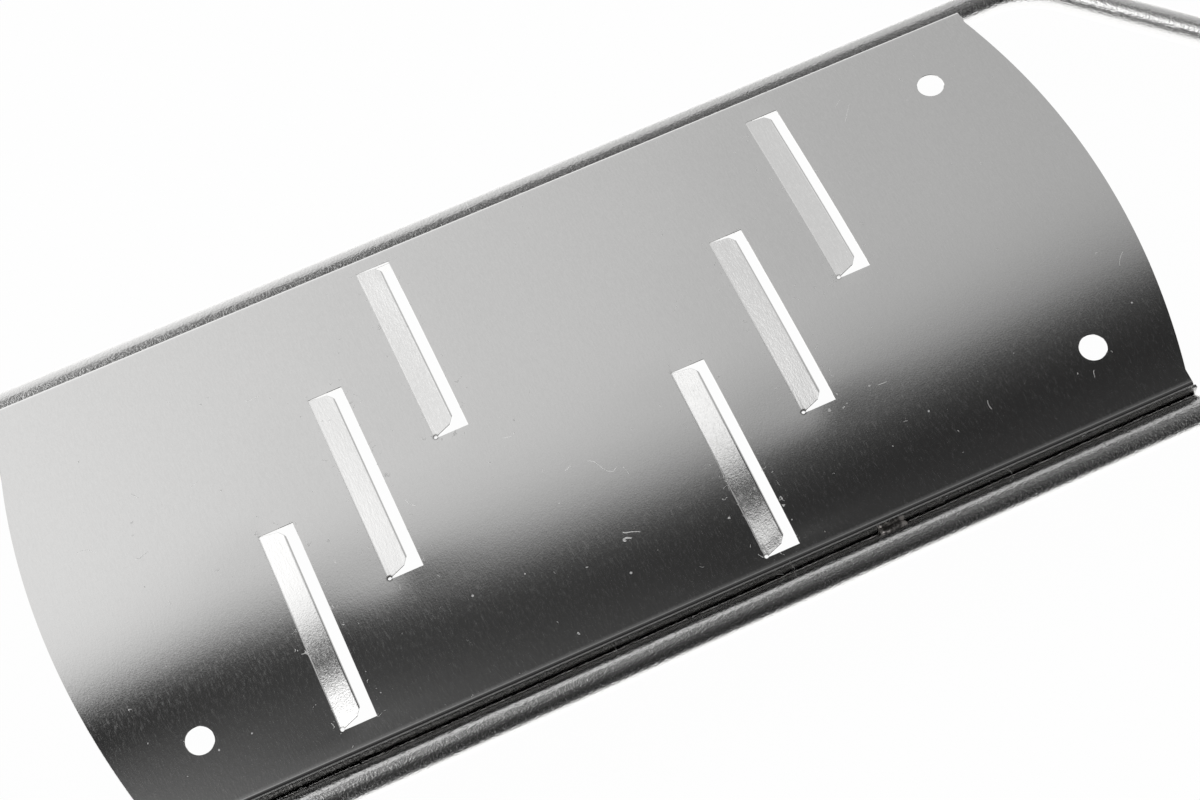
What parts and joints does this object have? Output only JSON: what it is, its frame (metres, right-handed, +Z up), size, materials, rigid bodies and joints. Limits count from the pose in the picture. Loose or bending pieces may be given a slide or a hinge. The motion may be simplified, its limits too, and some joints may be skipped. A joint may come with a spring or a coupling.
{
  "type": "slicing grater",
  "caption": "Hand-held paddle grater: arched steel plate with raised slicing lips in a bent wire frame, with rubber tip feet and a soft-grip handle with a hanging hole.",
  "frame": {"origin": "centre of the bounding box, at its bottom, on the table that the tool stands on", "axes": "+X along the tool from the tip bar to the handle, +Y across it to the right of a user who holds the handle, +Z up, out of the cutting side"},
  "size_m": [0.3112, 0.0732, 0.0244],
  "materials": {
    "plate_steel": "bright rolled stainless sheet with fine grain and small scratches",
    "wire_steel": "polished stainless wire",
    "weld_steel": "small bare weld beads",
    "foot_rubber": "matt black",
    "handle_plastic": "satin black",
    "grip_rubber": "matt black, soft"
  },
  "bodies": {
    "root": {"blade_plate": "plate_steel", "frame_wire": "wire_steel", "rail_welds": "weld_steel", "tip_foot_left": "foot_rubber", "tip_foot_right": "foot_rubber", "handle_core": "handle_plastic", "handle_grip": "grip_rubber"}
  },
  "joints": []
}
